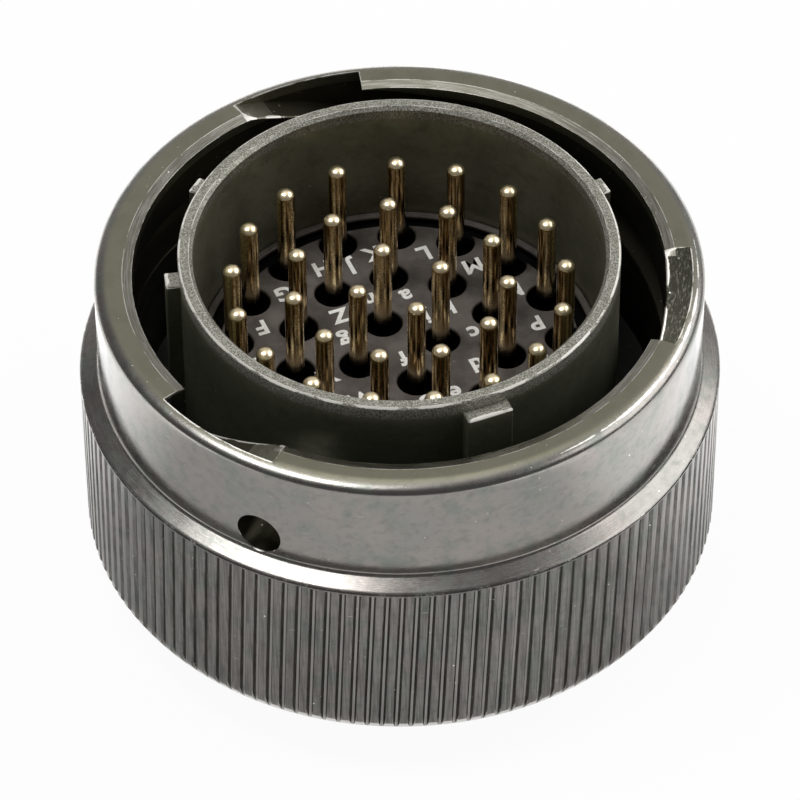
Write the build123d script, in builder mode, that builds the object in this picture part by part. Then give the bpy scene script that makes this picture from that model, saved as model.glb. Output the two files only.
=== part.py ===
"""Bayonet circular connector: plug with pin contacts, shell size 18, 32 contacts.

Millimetres, +Z towards the mating face. The plug stands on its rear end at z = 0,
its axis is the Z axis and its master key lies on the -Y side.
"""
from build123d import *
import math
import os

# Shell
flange_thickness = 1.8
barrel_radius = 12.0
barrel_wall = 0.8
barrel_proud = 1.4           # rim above the nut's front face
barrel_edge_break = 0.1
barrel_bore_chamfer = 0.2
key_height = 0.75            # outside the barrel
key_below_rim = 0.75
master_key_width = 2.55
minor_key_width = 1.2
master_key_angle = -90.0
minor_key_angles = (105.0, 140.0, 215.0, 265.0)  # clockwise from the master key
insert_shoulder_depth = 0.8  # below the flange's front face
insert_shoulder_width = 0.6  # step from the barrel's bore to the rear bore
rear_wall = 1.69             # from the rear bore to the accessory thread's outside
accessory_thread_chamfer = 0.6
accessory_thread_length = 4.2
thread_relief_depth = 0.59   # of the neck between the accessory thread and the flange

# Coupling nut, inside
mating_gap = 2.5             # from the barrel to the nut's bore, for the mating shell
guide_depth = 1.4            # radial depth of slots and ramps
guide_width = 2.56           # width of a ramp, across the mating shell's stud
lip_chamfer_width = 0.55     # shallow chamfer round the bore's mouth
lip_chamfer_depth = 0.15
slot_count = 3
slot_start_angle = 103.3     # where the first ramp leaves the front face
slot_span = 27.3             # open part of a ramp
ramp_span = 122.4            # from the start of a ramp to its detent hole
detent_depth = 5.2           # hole centre below the front face
lip_end_thickness = 0.2      # of the lip where it begins
counterbore_step = 1.3       # from the nut's bore to the counterbore behind it
counterbore_chamfer = 0.3

# Coupling nut, outside
nut_bottom_z = 3.15          # lower edge above the rear end of the shell
nut_length = 17.95
slot_wall = 0.7              # wall left outside a slot or a ramp
band_length = 6.45           # smooth band behind the front face
rim_crown_width = 1.0        # elliptical crown between front face and band
rim_crown_depth = 0.5
band_foot_step = 0.12        # small step where the band meets the shoulder
shoulder_drop = 0.45         # height of the sloped shoulder
knurl_rise = 1.05            # from the band to the knurl's lands
knurl_count = 138
knurl_depth = 0.34
knurl_groove_width = 0.40    # at the lands
knurl_groove_floor = 0.12
knurl_lean = 2.2             # degrees that the grooves lean from the axis
knurl_phase = -0.3           # degrees
knurl_top_margin = 0.16      # uncut ring above the grooves
nut_bottom_chamfer = 0.45

# Retaining ring, thrust washer and wave spring, from the nut's rear end inwards
ring_recess = 1.45           # ring above the nut's lower edge
ring_thickness = 1.0
ring_width = 1.85
ring_groove_depth = 0.55     # beyond the counterbore
ring_gap_angle = 16.0
washer_thickness = 0.4
washer_width = 1.7
spring_height = 1.5          # as fitted
spring_thickness = 0.3
spring_width = 1.4
spring_waves = 3
points_per_wave = 12
seat_clearance = 0.02        # between faces that seat on each other
side_clearance = 0.2         # round the flange, the washer and the ring
spring_clearance = 0.4       # round the spring, which spreads as it flattens

# Shell gasket
gasket_thickness = 1.2
gasket_bore_clearance = 0.3  # inside the nut's bore
gasket_clearance = 0.05      # round the barrel
key_above_gasket = 0.1

# Insert assembly
insert_clearance = 0.05      # radial, in the shell's bores
seal_face_depth = 6.5        # below the nut's front face
seal_thickness = 2.0
seal_groove_width = 0.75     # between the seal's face and its rim
seal_rim_width = 0.4
seal_groove_depth = 0.5
seal_recess_diameter = 2.15
seal_recess_depth = 1.6
front_insert_flange = 1.56   # thickness of its wider rear part
rear_insert_thickness = 2.6
grommet_recess = 0.4         # rear face of the grommet inside the shell's end
wire_hole_diameter = 1.2
wire_web_thickness = 1.1     # grommet web between the wire hole and the cavity

# Contacts
contact_diameter = 1.016
contact_tip_rounding = 0.4
contact_root_diameter = 1.06 # inside the seal
contact_below_nut = 0.6      # tips below the nut's front face
contact_body_diameter = 1.32
contact_body_length = 2.0
contact_collar_diameter = 1.95
contact_collar_length = 0.6
contact_rear_diameter = 1.76
contact_clearance = 0.02     # radial, in the insulators
wire_well_diameter = 1.2
wire_well_depth = 3.6
outer_ring_margin = 2.0      # from the front insert's edge to the outer contact ring
outer_to_middle_ring = 3.25
middle_to_inner_ring = 3.46
outer_ring_count = 17
middle_ring_count = 11
inner_ring_count = 4

# Heights that follow
nut_front_z = nut_bottom_z + nut_length
band_foot_z = nut_front_z - band_length
knurl_top_z = band_foot_z - band_foot_step - shoulder_drop
detent_z = nut_front_z - detent_depth
ring_z = nut_bottom_z + ring_recess
washer_z = ring_z + ring_thickness + seat_clearance
spring_z = washer_z + washer_thickness + seat_clearance
flange_rear_z = spring_z + spring_height + seat_clearance
flange_front_z = flange_rear_z + flange_thickness
nut_shoulder_z = flange_front_z + seat_clearance
barrel_rim_z = nut_front_z + barrel_proud
key_top_z = barrel_rim_z - key_below_rim
gasket_top_z = flange_front_z + gasket_thickness
insert_shoulder_z = flange_front_z - insert_shoulder_depth
seal_face_z = nut_front_z - seal_face_depth
seal_rear_z = seal_face_z - seal_thickness
front_insert_rear_z = insert_shoulder_z - front_insert_flange
rear_insert_rear_z = front_insert_rear_z - rear_insert_thickness
contact_tip_z = nut_front_z - contact_below_nut
contact_rear_z = grommet_recess + wire_web_thickness

# Radii of the shell and the nut that follow, from the barrel outwards
barrel_bore_radius = barrel_radius - barrel_wall
key_outer_radius = barrel_radius + key_height
rear_bore_radius = barrel_bore_radius + insert_shoulder_width
accessory_thread_radius = rear_bore_radius + rear_wall
neck_radius = accessory_thread_radius - thread_relief_depth
nut_bore_radius = barrel_radius + mating_gap
gasket_outer_radius = nut_bore_radius - gasket_bore_clearance
ramp_outer_radius = nut_bore_radius + guide_depth
band_radius = ramp_outer_radius + slot_wall
knurl_radius = band_radius + knurl_rise
counterbore_radius = nut_bore_radius + counterbore_step
flange_radius = counterbore_radius - side_clearance
ring_groove_radius = counterbore_radius + ring_groove_depth
ring_outer_radius = ring_groove_radius - side_clearance
ring_inner_radius = ring_outer_radius - ring_width
washer_outer_radius = counterbore_radius - side_clearance
washer_inner_radius = washer_outer_radius - washer_width
spring_outer_radius = counterbore_radius - spring_clearance
spring_inner_radius = spring_outer_radius - spring_width

# Radii of the insert assembly and the contacts that follow, from the barrel's bore inwards
front_insert_radius = barrel_bore_radius - insert_clearance
rear_insert_radius = rear_bore_radius - insert_clearance
seal_rim_inner_radius = front_insert_radius - seal_rim_width
seal_face_radius = seal_rim_inner_radius - seal_groove_width
outer_ring_radius = front_insert_radius - outer_ring_margin
middle_ring_radius = outer_ring_radius - outer_to_middle_ring
inner_ring_radius = middle_ring_radius - middle_to_inner_ring
contact_radius = contact_diameter / 2
contact_root_radius = contact_root_diameter / 2
cavity_radius = contact_rear_diameter / 2 + contact_clearance

# Allowance by which a cutter passes the surface that it opens
overshoot = 1.0

os.makedirs("parts", exist_ok=True)


def finish(piece, name):
    """Label a finished piece and write it to its own file."""
    piece.label = name
    export_step(piece, f"parts/{name}.step")


def ring_places(radius, count, first_angle):
    """Points on a contact ring, clockwise as seen on the mating face."""
    step = 360.0 / count
    angles = [math.radians(first_angle - step * k) for k in range(count)]
    return [(radius * math.cos(a), radius * math.sin(a)) for a in angles]


def radial_plane(angle):
    """Plane through the axis: its x is the radius and its y is +Z."""
    a = math.radians(angle)
    outward = (math.cos(a), math.sin(a), 0)
    across = (math.sin(a), -math.cos(a), 0)
    return Plane(origin=(0, 0, 0), x_dir=outward, z_dir=across)


# The outer ring has a gap between two contacts at the master key, the middle ring has
# a contact there, and the inner ring's first contact lies opposite the key.
outer_places = ring_places(outer_ring_radius, outer_ring_count, master_key_angle - 180.0 / outer_ring_count)
middle_places = ring_places(middle_ring_radius, middle_ring_count, master_key_angle)
inner_places = ring_places(inner_ring_radius, inner_ring_count, master_key_angle + 180.0)
contact_places = outer_places + middle_places + inner_places


# Shell: barrel, flange and rear spigot turned in one piece, with five milled keys
with BuildPart() as plug_shell:
    with BuildSketch(Plane.XZ):
        with BuildLine():
            Polyline(
                (rear_bore_radius, 0),
                (accessory_thread_radius - accessory_thread_chamfer, 0),
                (accessory_thread_radius, accessory_thread_chamfer),
                (accessory_thread_radius, accessory_thread_length),
                (neck_radius, accessory_thread_length + accessory_thread_radius - neck_radius),
                (neck_radius, flange_rear_z),
                (flange_radius, flange_rear_z),
                (flange_radius, flange_front_z),
                (barrel_radius, flange_front_z),
                (barrel_radius, barrel_rim_z - barrel_edge_break),
                (barrel_radius - barrel_edge_break, barrel_rim_z),
                (barrel_bore_radius + barrel_bore_chamfer, barrel_rim_z),
                (barrel_bore_radius, barrel_rim_z - barrel_bore_chamfer),
                (barrel_bore_radius, insert_shoulder_z),
                (rear_bore_radius, insert_shoulder_z),
                close=True,
            )
        make_face()
    revolve(axis=Axis.Z)
    with BuildSketch(Plane.XY.offset(gasket_top_z + key_above_gasket)):
        with Locations(Rotation(0, 0, master_key_angle)):
            Rectangle(key_outer_radius, master_key_width, align=(Align.MIN, Align.CENTER))
        for key_angle in minor_key_angles:
            with Locations(Rotation(0, 0, master_key_angle - key_angle)):
                Rectangle(key_outer_radius, minor_key_width, align=(Align.MIN, Align.CENTER))
        Circle((barrel_radius + barrel_bore_radius) / 2, mode=Mode.SUBTRACT)
    extrude(amount=key_top_z - gasket_top_z - key_above_gasket)
finish(plug_shell.part, "plug_shell")


# Gasket at the barrel's root
with BuildPart() as shell_gasket:
    with BuildSketch(Plane.XY.offset(flange_front_z)):
        Circle(gasket_outer_radius)
        Circle(barrel_radius + gasket_clearance, mode=Mode.SUBTRACT)
    extrude(amount=gasket_thickness)
finish(shell_gasket.part, "shell_gasket")


# Path of a ramp: floor and roof heights at an angle past the ramp's start
def guide_floor(past_start):
    """Steep over the open slot, then one guide width below the roof."""
    if past_start < slot_span:
        return nut_front_z - (guide_width + lip_end_thickness) * past_start / slot_span
    return guide_roof(past_start) - guide_width


def guide_roof(past_start):
    """Underside of the lip, from its thin end down to the detent hole."""
    share = (past_start - slot_span) / (ramp_span - slot_span)
    roof_drop = detent_depth - guide_width / 2 - lip_end_thickness
    return nut_front_z - lip_end_thickness - roof_drop * share


def open_roof(past_start):
    """Nothing covers the slot, so its cutter reaches past the front face."""
    return nut_front_z + overshoot


def guide_cutter(start, first, last, steps, roof):
    """Loft through radial sections of a ramp, from one angle past its start to another."""
    inner = nut_bore_radius - overshoot
    with BuildPart() as cutter:
        for k in range(steps + 1):
            past_start = first + (last - first) * k / steps
            low = guide_floor(past_start)
            high = roof(past_start)
            with BuildSketch(radial_plane(start - past_start)):
                with BuildLine():
                    Polyline(
                        (inner, low),
                        (ramp_outer_radius, low),
                        (ramp_outer_radius, high),
                        (inner, high),
                        close=True,
                    )
                make_face()
        loft()
    return cutter.part


# Cutters for the ramps: the open slot, then the covered guide that ends at the detent hole
slot_starts = [slot_start_angle + k * 360.0 / slot_count for k in range(slot_count)]
slot_steps = 5
ramp_steps = 14
slot_cutters = [guide_cutter(start, 0.0, slot_span, slot_steps, open_roof) for start in slot_starts]
ramp_cutters = [guide_cutter(start, slot_span, ramp_span, ramp_steps, guide_roof) for start in slot_starts]

# Cutter for one knurl groove, a leaning prism across the nut's front side
groove_low_z = nut_bottom_z - overshoot
groove_high_z = knurl_top_z - knurl_top_margin
lean = math.radians(knurl_lean)
groove_plane = Plane(
    origin=(0, 0, (groove_low_z + groove_high_z) / 2),
    x_dir=(1, 0, 0),
    z_dir=(0, math.sin(lean), math.cos(lean)),
)
with BuildPart() as knurl_cutter:
    with BuildSketch(groove_plane):
        with BuildLine():
            Polyline(
                (knurl_radius - knurl_depth, knurl_groove_floor / 2),
                (knurl_radius, knurl_groove_width / 2),
                (knurl_radius + overshoot, knurl_groove_width / 2 + overshoot),
                (knurl_radius + overshoot, -knurl_groove_width / 2 - overshoot),
                (knurl_radius, -knurl_groove_width / 2),
                (knurl_radius - knurl_depth, -knurl_groove_floor / 2),
                close=True,
            )
        make_face()
    extrude(amount=(groove_high_z - groove_low_z) / 2, both=True)

# Coupling nut
with BuildPart() as coupling_nut:
    with BuildSketch(Plane.XZ):
        with BuildLine():
            EllipticalCenterArc(
                (band_radius - rim_crown_width, nut_front_z - rim_crown_depth),
                rim_crown_width,
                rim_crown_depth,
            )
            Polyline(
                (band_radius, nut_front_z - rim_crown_depth),
                (band_radius, band_foot_z),
                (band_radius + band_foot_step, band_foot_z - band_foot_step),
                (knurl_radius, knurl_top_z),
                (knurl_radius, nut_bottom_z + nut_bottom_chamfer),
                (knurl_radius - nut_bottom_chamfer, nut_bottom_z),
                (counterbore_radius + counterbore_chamfer, nut_bottom_z),
                (counterbore_radius, nut_bottom_z + counterbore_chamfer),
                (counterbore_radius, nut_shoulder_z),
                (nut_bore_radius, nut_shoulder_z),
                (nut_bore_radius, nut_front_z - lip_chamfer_depth),
                (nut_bore_radius + lip_chamfer_width, nut_front_z),
                (band_radius - rim_crown_width, nut_front_z),
            )
        make_face()
    revolve(axis=Axis.Z)
    # Groove for the retaining ring
    with BuildSketch(Plane.XY.offset(ring_z - seat_clearance)):
        Circle(ring_groove_radius)
    extrude(amount=ring_thickness + 2 * seat_clearance, mode=Mode.SUBTRACT)
    # Three slots, ramps and detent holes
    for cutter in slot_cutters + ramp_cutters:
        add(cutter, mode=Mode.SUBTRACT)
    for start in slot_starts:
        outward = radial_plane(start - ramp_span).x_dir
        with BuildSketch(Plane(origin=(0, 0, detent_z), z_dir=outward).offset(nut_bore_radius - overshoot)):
            Circle(guide_width / 2)
        extrude(amount=band_radius - nut_bore_radius + 2 * overshoot, mode=Mode.SUBTRACT)
    # Knurl
    with Locations(Rotation(0, 0, knurl_phase)):
        with PolarLocations(0, knurl_count):
            add(knurl_cutter.part, mode=Mode.SUBTRACT)
finish(coupling_nut.part, "coupling_nut")


# Retaining ring, open at one side so that it can be closed into the nut's groove
with BuildPart() as retaining_ring:
    with BuildSketch(Plane.XY.offset(ring_z)):
        Circle(ring_outer_radius)
        Circle(ring_inner_radius, mode=Mode.SUBTRACT)
        with BuildLine():
            reach = 2 * ring_groove_radius
            half_gap = math.radians(ring_gap_angle / 2)
            Polyline(
                (0, 0),
                (reach * math.cos(half_gap), reach * math.sin(half_gap)),
                (reach * math.cos(half_gap), -reach * math.sin(half_gap)),
                close=True,
            )
        make_face(mode=Mode.SUBTRACT)
    extrude(amount=ring_thickness)
finish(retaining_ring.part, "retaining_ring")


# Thrust washer
with BuildPart() as thrust_washer:
    with BuildSketch(Plane.XY.offset(washer_z)):
        Circle(washer_outer_radius)
        Circle(washer_inner_radius, mode=Mode.SUBTRACT)
    extrude(amount=washer_thickness)
finish(thrust_washer.part, "thrust_washer")


def wave_curve(radius, height):
    """One closed edge of the wave spring."""
    count = points_per_wave * spring_waves
    swing = (spring_height - spring_thickness) / 2
    points = []
    for k in range(count):
        a = 2 * math.pi * k / count
        wave = swing * math.cos(spring_waves * a)
        points.append((radius * math.cos(a), radius * math.sin(a), height + wave))
    return Spline(*points, periodic=True)


# Wave spring, a flat strip bent into three waves
spring_middle_z = spring_z + spring_height / 2
spring_low_z = spring_middle_z - spring_thickness / 2
spring_high_z = spring_middle_z + spring_thickness / 2
low_inner = wave_curve(spring_inner_radius, spring_low_z)
low_outer = wave_curve(spring_outer_radius, spring_low_z)
high_inner = wave_curve(spring_inner_radius, spring_high_z)
high_outer = wave_curve(spring_outer_radius, spring_high_z)
spring_skin = [
    Face.make_surface_from_curves(low_inner.edge(), low_outer.edge()),
    Face.make_surface_from_curves(low_outer.edge(), high_outer.edge()),
    Face.make_surface_from_curves(high_outer.edge(), high_inner.edge()),
    Face.make_surface_from_curves(high_inner.edge(), low_inner.edge()),
]
with BuildPart() as wave_spring:
    add(Solid(Shell(spring_skin)))
finish(wave_spring.part, "wave_spring")


# Interfacial seal: a recess round every pin, and a rim against the barrel's wall
with BuildPart() as interfacial_seal:
    with BuildSketch(Plane.XY.offset(seal_rear_z)):
        Circle(front_insert_radius)
    extrude(amount=seal_thickness)
    with BuildSketch(Plane.XY.offset(seal_face_z)):
        Circle(seal_rim_inner_radius)
        Circle(seal_face_radius, mode=Mode.SUBTRACT)
    extrude(amount=-seal_groove_depth, mode=Mode.SUBTRACT)
    with BuildSketch(Plane.XY.offset(seal_face_z)):
        with Locations(*contact_places):
            Circle(seal_recess_diameter / 2)
    extrude(amount=-seal_recess_depth, mode=Mode.SUBTRACT)
    with BuildSketch(Plane.XY.offset(seal_rear_z)):
        with Locations(*contact_places):
            Circle(contact_root_radius + contact_clearance)
    extrude(amount=seal_thickness, mode=Mode.SUBTRACT)
finish(interfacial_seal.part, "interfacial_seal")


# Front insert: stepped against the shell's inner shoulder, with stepped contact cavities
collar_z = front_insert_rear_z
body_top_z = collar_z + contact_collar_length + contact_body_length
with BuildPart() as front_insert:
    with BuildSketch(Plane.XY.offset(front_insert_rear_z)):
        Circle(rear_insert_radius)
    extrude(amount=front_insert_flange)
    with BuildSketch(Plane.XY.offset(insert_shoulder_z)):
        Circle(front_insert_radius)
    extrude(amount=seal_rear_z - insert_shoulder_z)
    with BuildSketch(Plane.XY.offset(front_insert_rear_z)):
        with Locations(*contact_places):
            Circle(contact_root_radius + contact_clearance)
    extrude(amount=seal_rear_z - front_insert_rear_z, mode=Mode.SUBTRACT)
    with BuildSketch(Plane.XY.offset(front_insert_rear_z)):
        with Locations(*contact_places):
            Circle(contact_body_diameter / 2 + contact_clearance)
    extrude(amount=body_top_z + seat_clearance - front_insert_rear_z, mode=Mode.SUBTRACT)
    with BuildSketch(Plane.XY.offset(front_insert_rear_z)):
        with Locations(*contact_places):
            Circle(contact_collar_diameter / 2 + contact_clearance)
    extrude(amount=contact_collar_length + seat_clearance, mode=Mode.SUBTRACT)
finish(front_insert.part, "front_insert")


# Rear insert: closes the collar cavities
with BuildPart() as rear_insert:
    with BuildSketch(Plane.XY.offset(rear_insert_rear_z)):
        Circle(rear_insert_radius)
        with Locations(*contact_places):
            Circle(cavity_radius, mode=Mode.SUBTRACT)
    extrude(amount=rear_insert_thickness)
finish(rear_insert.part, "rear_insert")


# Rear grommet: a wire hole in a thin web behind every contact
with BuildPart() as rear_grommet:
    with BuildSketch(Plane.XY.offset(grommet_recess)):
        Circle(rear_insert_radius)
        with Locations(*contact_places):
            Circle(wire_hole_diameter / 2, mode=Mode.SUBTRACT)
    extrude(amount=rear_insert_rear_z - grommet_recess)
    with BuildSketch(Plane.XY.offset(contact_rear_z)):
        with Locations(*contact_places):
            Circle(cavity_radius)
    extrude(amount=rear_insert_rear_z - contact_rear_z, mode=Mode.SUBTRACT)
finish(rear_grommet.part, "rear_grommet")


def make_contact(place, name):
    """Turned pin contact: rounded pin, body, retention collar and hollow crimp barrel."""
    x, y = place
    axis_plane = Plane(origin=(x, y, 0), x_dir=(1, 0, 0), z_dir=(0, -1, 0))
    body_radius = contact_body_diameter / 2
    collar_radius = contact_collar_diameter / 2
    rear_radius = contact_rear_diameter / 2
    well_radius = wire_well_diameter / 2
    collar_top_z = collar_z + contact_collar_length
    with BuildPart() as contact:
        with BuildSketch(axis_plane):
            with BuildLine():
                Polyline(
                    (0, contact_tip_z),
                    (0, contact_rear_z + wire_well_depth),
                    (well_radius, contact_rear_z + wire_well_depth),
                    (well_radius, contact_rear_z),
                    (rear_radius, contact_rear_z),
                    (rear_radius, collar_z),
                    (collar_radius, collar_z),
                    (collar_radius, collar_top_z),
                    (body_radius, collar_top_z),
                    (body_radius, body_top_z),
                    (contact_root_radius, body_top_z),
                    (contact_root_radius, seal_face_z),
                    (contact_radius, seal_face_z),
                    (contact_radius, contact_tip_z - contact_tip_rounding),
                )
                tip_start = (contact_radius, contact_tip_z - contact_tip_rounding)
                tip_end = (contact_radius - contact_tip_rounding, contact_tip_z)
                RadiusArc(tip_start, tip_end, -contact_tip_rounding)
                Line(tip_end, (0, contact_tip_z))
            make_face()
        revolve(axis=Axis((x, y, 0), (0, 0, 1)))
    finish(contact.part, name)


for number, place in enumerate(outer_places, start=1):
    make_contact(place, f"outer_pin_{number:02d}")
for number, place in enumerate(middle_places, start=1):
    make_contact(place, f"middle_pin_{number:02d}")
for number, place in enumerate(inner_places, start=1):
    make_contact(place, f"inner_pin_{number}")
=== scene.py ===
import bmesh
import bpy
from math import asin, atan2, copysign, cos, degrees, hypot, pi, radians, sin, sqrt, tan
from mathutils import Matrix, Vector


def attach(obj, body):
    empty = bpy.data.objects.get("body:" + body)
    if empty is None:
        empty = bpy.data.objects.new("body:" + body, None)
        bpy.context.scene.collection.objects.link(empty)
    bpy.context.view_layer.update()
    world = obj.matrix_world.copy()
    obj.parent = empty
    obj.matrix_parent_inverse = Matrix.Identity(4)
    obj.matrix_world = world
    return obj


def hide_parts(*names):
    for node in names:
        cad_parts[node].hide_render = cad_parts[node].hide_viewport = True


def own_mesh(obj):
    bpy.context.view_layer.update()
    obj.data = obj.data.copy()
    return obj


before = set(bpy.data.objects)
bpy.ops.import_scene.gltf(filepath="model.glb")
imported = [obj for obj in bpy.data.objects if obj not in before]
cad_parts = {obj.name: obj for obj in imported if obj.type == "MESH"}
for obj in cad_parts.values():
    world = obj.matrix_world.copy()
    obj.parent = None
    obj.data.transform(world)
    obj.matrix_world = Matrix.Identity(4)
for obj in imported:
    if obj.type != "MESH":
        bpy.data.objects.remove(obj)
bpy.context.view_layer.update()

MM = 0.001
POINTS_PER_MM = 20000  # points that agree this finely are one vertex

# Sizes in millimetres, as in the solids. Shell
FLANGE_REAR_Z = 7.56
FLANGE_FRONT_Z = 9.36
FLANGE_RADIUS = 15.6
BARREL_RADIUS = 12.0
BARREL_BORE = 11.2
BARREL_RIM_Z = 22.5
RIM_BREAK = 0.1
RIM_BORE_CHAMFER = 0.2
RIM_FADE = 0.05  # width over which the rim's wear fades
RIM_SIDE_FADE = 0.06
FLANGE_EDGE = 0.08
CORNER = 0.1  # bevel in inner corners
BARREL_SECTIONS = 480
KEY_STEP = 0.25  # spacing of the points across a key's top
KEY_MARGIN = 0.1
KEY_REACH = 12.75
KEY_TOP_Z = 21.75
KEY_BOTTOM_Z = 10.66
MASTER_KEY_WIDTH = 2.55
MINOR_KEY_WIDTH = 1.2
MASTER_KEY_ANGLE = -90.0
MINOR_KEY_ANGLES = (105.0, 140.0, 215.0, 265.0)
INSERT_SHOULDER_Z = 8.56
REAR_BORE = 11.8
NECK_RADIUS = 12.9
THREAD_RADIUS = 13.49
THREAD_PITCH = 25.4 / 18
THREAD_DEPTH = 0.72
THREAD_LENGTH = 4.2
THREAD_CHAMFER = 0.6
THREAD_CREST = 0.06  # share of the pitch that is flat at the crest
THREAD_FLANK = 0.82
THREAD_RUNOUT = 0.45
THREAD_RUNOUT_SLOPE = 1.2
THREAD_PIECE_TOP = 4.9
THREAD_EDGE = 0.08
THREAD_SEGMENTS = 240
THREAD_ROWS = 98

# Coupling nut
NUT_FRONT_Z = 21.1
NUT_BOTTOM_Z = 3.15
NUT_BORE = 14.5
GUIDE_RADIUS = 15.9
GUIDE_WIDTH = 2.56
BAND_RADIUS = 16.6
KNURL_RADIUS = 17.65
CROWN_WIDTH = 1.0
CROWN_DEPTH = 0.5
# Painted highlight on the crown: the angle where it is strongest, its strength and how narrow it is. CROWN_WEAR is the
# even wear all round.
CROWN_HIGHLIGHT_ANGLE = -48.0
CROWN_WEAR = 0.42
CROWN_PAINTED_HIGHLIGHT = 0.95
CROWN_HIGHLIGHT_POWER = 9
LIP_CHAMFER_WIDTH = 0.55
LIP_CHAMFER_DEPTH = 0.15
BAND_FOOT_Z = 14.65
FOOT_STEP = 0.12
BAND_ROWS = (16.0, 17.5, 19.0, 20.2)  # heights of points on the band, knurl and bore
KNURL_ROWS = (11.5, 9.0, 6.5, 4.2)
BORE_ROW = 13.0
KNURL_TOP_Z = 14.08
SLOT_START_ANGLE = 103.3
SLOT_SPAN = 27.3
RAMP_SPAN = 122.4
SECTOR = 120.0
DETENT_Z = 15.9
LIP_THICKNESS = 0.2
NUT_SHOULDER_Z = 9.38
COUNTERBORE = 15.8
RING_GROOVE = 16.35
RING_GROOVE_TOP = 5.62
RING_GROOVE_LOW = 4.58
COUNTER_CHAMFER = 0.3
FOOT_CHAMFER_WIDTH = 0.28
FOOT_CHAMFER_HEIGHT = 0.55
KNURL_COUNT = 138
KNURL_DEPTH = 0.26
KNURL_GROOVE_WIDTH = 0.38
KNURL_GROOVE_FLOOR = 0.13
KNURL_LEAN = 2.2
KNURL_PHASE = -0.3
KNURL_CUT_WEAR = 0.015  # how far a groove's worn edge reaches into it, and onto the land
KNURL_LAND_WEAR = 0.022
KNURL_LAND = 0.31  # where the land is whole, from the groove's middle
KNURL_TOP_MARGIN = 0.16
EDGE = 0.07  # rounding of worn edges
WEAR_FADE = 0.12  # width over which the wear of an edge fades
FACE_EDGE = 15.6  # where the crown begins
FACE_RIM = 15.75  # row of points on the crown next to the guide
LEDGE_FADE = 0.25
SHOULDER_FALL = 0.45  # fall of the shoulder above the knurl, over its run
SHOULDER_RUN = 0.93
NUT_SECTIONS = 230  # columns of points in each of the nut's three sectors
SLOT_STEPS = 36
ARC_STEPS = 12
HOLE_SEGMENTS = 96

# Wave spring, between the thrust washer and the flange
SPRING_LOW_Z = 6.04
SPRING_TOP_Z = 7.54
SPRING_THICKNESS = 0.3
SPRING_RADIUS = 15.4
SPRING_WIDTH = 1.4
SPRING_WAVES = 3
SPRING_EDGE = 0.06
SPRING_SEGMENTS = 216

# Insert assembly
SEAL_RADIUS = 11.15
SEAL_FACE_Z = 14.6
SEAL_REAR_Z = 12.6
SEAL_RIM_INNER = 10.75
SEAL_FACE_RADIUS = 10.0
SEAL_GROOVE_DEPTH = 0.5
SEAL_EDGE = 0.06
SEAL_SEGMENTS = 192
RECESS_RADIUS = 1.075
RECESS_DEPTH = 1.6
RECESS_SEGMENTS = 48
OUTER_RING, OUTER_COUNT = 9.15, 17
MIDDLE_RING, MIDDLE_COUNT = 5.9, 11
INNER_RING, INNER_COUNT = 2.44, 4
PIN_RADIUS = 0.508
PIN_ROOT = 0.53
PIN_HOLE_GAP = 0.02
PIN_EDGE = 0.05
PIN_SEGMENTS = 40
PIN_NECK = 0.42  # neck under the rounded foot of the free length, painted near black as shade in the recess
PIN_NECK_LOW_Z = 13.1
PIN_FOOT_Z = 14.85
PIN_TIP_Z = 20.5
PIN_TIP_HEIGHT = 0.42
PIN_REAR_Z = 1.5
PIN_COLLAR_Z = 7.0
PIN_COLLAR = 0.975
PIN_COLLAR_LENGTH = 0.6
PIN_BODY = 0.66
PIN_BODY_TOP_Z = 9.6
PIN_REAR = 0.88
WELL_RADIUS = 0.6
WELL_DEPTH = 3.6
LETTER_HEIGHT = 1.05
LETTER_THICKNESS = 0.004
LETTER_LIFT = 0.006
LETTER_BOLDNESS = 0.045
CAPITAL_HEIGHT = 0.70  # of the font's size
OUTER_LETTERS, OUTER_GAP, OUTER_LEAN = "ABCDEFGHJKLMNPRST", 1.95, -45.0
MIDDLE_LETTERS, MIDDLE_GAP, MIDDLE_LEAN = "UVWXYZabcde", 1.8, 27.0
INNER_LETTERS, INNER_GAP = "hjfg", 1.93

# Patterns and wear in the materials
UNROLL_RADIUS = 16.0
WORN_BRIGHT = (0.86, 0.84, 0.78)

# Camera
CAMERA_AZIMUTH = -22.1
CAMERA_ELEVATION = 46.0
CAMERA_DISTANCE = 301 * MM
CAMERA_TARGET_Z = 10.75 * MM
CAMERA_LENS = 243.5
CAMERA_ROLL = -0.27
SENSOR_WIDTH = 36
LAMP_DISTANCE = 600 * MM


def around(count):
    """Equal steps round the circle, in degrees."""
    return [360.0 * k / count for k in range(count)]


def look_direction(azimuth, elevation):
    """Direction from the part to a place around it, azimuth 0 towards the camera."""
    a = radians(azimuth + CAMERA_AZIMUTH)
    e = radians(elevation)
    return Vector((sin(a) * cos(e), -cos(a) * cos(e), sin(e)))


def make_camera():
    """Camera of the photograph: a long lens, from above."""
    data = bpy.data.cameras.new("camera")
    data.lens = CAMERA_LENS
    data.sensor_width = SENSOR_WIDTH
    data.clip_start = 0.01
    data.clip_end = 10
    camera = add_object(data)
    out = look_direction(0, CAMERA_ELEVATION)
    turn = (-out).to_track_quat("-Z", "Y").to_matrix().to_4x4()
    turn = turn @ Matrix.Rotation(radians(CAMERA_ROLL), 4, "Z")
    camera.matrix_world = Matrix.Translation(Vector((0, 0, CAMERA_TARGET_Z)) + out * CAMERA_DISTANCE) @ turn
    bpy.context.scene.camera = camera


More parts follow.
